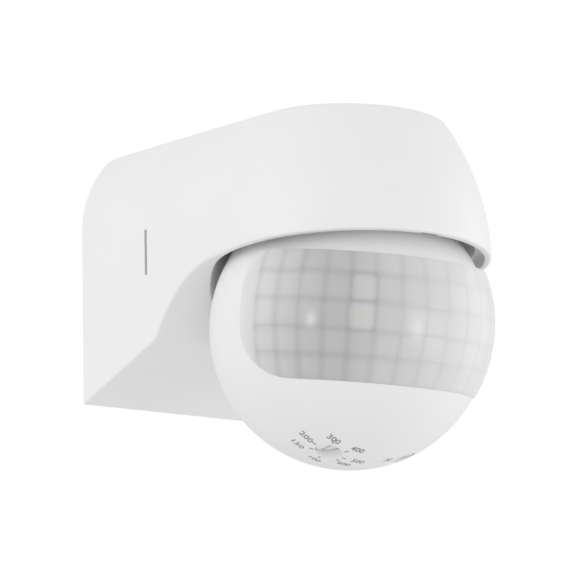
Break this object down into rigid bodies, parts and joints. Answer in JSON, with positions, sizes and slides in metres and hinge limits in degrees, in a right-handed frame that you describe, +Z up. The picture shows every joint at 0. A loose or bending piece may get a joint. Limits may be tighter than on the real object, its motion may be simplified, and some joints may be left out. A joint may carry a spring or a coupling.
{
  "type": "motion sensor",
  "caption": "Wall-mounted passive infrared motion sensor: a hooded wall box carries a ball head that pans and tilts, with a wrap-around segmented lens and two setting knobs.",
  "frame": {"origin": "centre of the wall mounting face", "axes": "the wall is the plane y = 0, the front faces -Y, +X to the right seen from the front, +Z up"},
  "size_m": [0.061, 0.0944, 0.0808],
  "materials": {
    "housing_white": "fine satin texture",
    "head_white": "fine satin texture",
    "inner_white": "smooth",
    "lens": "milky segmented sheet",
    "rubber": "matte",
    "black_plastic": "matte",
    "terminal_plastic": "satin",
    "brass": "satin",
    "steel": "zinc plated",
    "board": "solder mask",
    "relay_case": "smooth",
    "film_case": "smooth",
    "can_sleeve": "smooth",
    "ceramic": "smooth",
    "wire_red": "smooth",
    "wire_brown": "smooth",
    "filter": "dark filter",
    "cell": "smooth",
    "trimmer_blue": "smooth"
  },
  "bodies": {
    "root": {"wall_base": "housing_white", "wall_gasket": "rubber", "cable_grommet": "rubber", "terminal_block": "terminal_plastic", "terminal_clamps": "brass", "terminal_screws": "steel", "power_board": "board", "board_screws": "steel", "relay": "relay_case", "film_capacitor": "film_case", "storage_capacitor": "can_sleeve", "fuse": "ceramic", "lead_plug": "terminal_plastic", "supply_leads": "wire_brown", "hood": "housing_white", "hood_seal": "rubber", "base_lead": "wire_red"},
    "neck": {"swivel_neck": "inner_white", "neck_washer": "steel", "neck_clip": "steel", "neck_lead": "wire_red"},
    "head": {"head_rear_shell": "head_white", "head_front_shell": "head_white", "head_seal": "rubber", "head_screws": "steel", "fresnel_lens": "lens", "lens_frame": "black_plastic", "tilt_axle": "steel", "sensor_board": "board", "sensor_board_screws": "steel", "pyro_sensor": "steel", "pyro_window": "filter", "light_sensor": "cell", "signal_chip": "black_plastic", "time_trimmer": "trimmer_blue", "lux_trimmer": "trimmer_blue", "head_lead": "wire_red"},
    "time_knob": {"time_knob": "head_white"},
    "lux_knob": {"lux_knob": "head_white"}
  },
  "joints": [
    {"name": "head_pan", "type": "hinge", "parent": "root", "child": "neck", "pos_m": [0, -0.063, 0.012], "axis": [0, 0, 1], "range_deg": [-80, 80]},
    {"name": "head_tilt", "type": "hinge", "parent": "neck", "child": "head", "pos_m": [0, -0.063, -0.0218], "axis": [1, 0, 0], "range_deg": [-10, 22]},
    {"name": "time_set", "type": "hinge", "parent": "head", "child": "time_knob", "pos_m": [-0.0092, -0.06747, -0.05], "axis": [0, -0.0872, -0.9962], "range_deg": [-135, 135]},
    {"name": "lux_set", "type": "hinge", "parent": "head", "child": "lux_knob", "pos_m": [0.0092, -0.06747, -0.05], "axis": [0, -0.0872, -0.9962], "range_deg": [-135, 135]}
  ]
}
